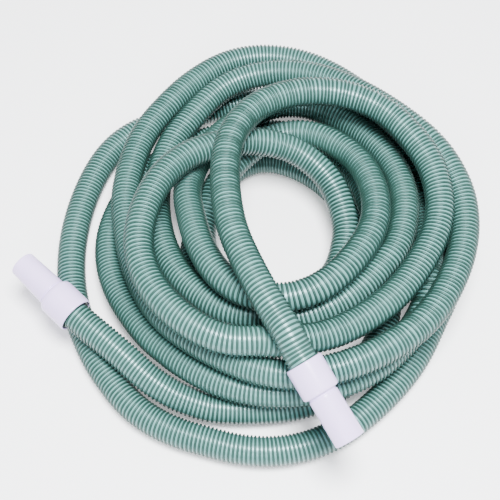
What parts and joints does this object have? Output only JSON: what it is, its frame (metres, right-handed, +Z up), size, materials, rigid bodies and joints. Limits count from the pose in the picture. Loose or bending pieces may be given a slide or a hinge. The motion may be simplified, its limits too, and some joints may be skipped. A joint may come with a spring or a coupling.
{
  "type": "pool vacuum hose",
  "caption": "Coiled ribbed suction hose for pool cleaning, with a free-turning swivel cuff on one end and a fixed stepped cuff on the other.",
  "frame": {"origin": "on the floor under the middle of the coil's outline", "axes": "+Z up; +X to the right and -Y toward a viewer who has the swivel cuff at the left and the fixed cuff pointing toward them"},
  "size_m": [0.7016, 0.7302, 0.2214],
  "materials": {
    "ribbed_hose": "grey-green flexible plastic, ribbed",
    "white_cuff": "satin white moulded plastic",
    "sleeve": "moulded plastic",
    "retaining_ring": "moulded plastic",
    "seal": "soft rubber"
  },
  "bodies": {
    "hose": {"suction_hose": "ribbed_hose", "fixed_cuff": "white_cuff", "swivel_sleeve": "sleeve", "swivel_seal": "seal"},
    "swivel": {"swivel_cuff": "white_cuff", "retaining_ring": "retaining_ring"}
  },
  "joints": [
    {"name": "cuff_swivel", "type": "hinge", "parent": "hose", "child": "swivel", "pos_m": [-0.25198, -0.14221, 0.07364], "axis": [-0.7248, 0.6813, 0.1023], "continuous": true}
  ]
}
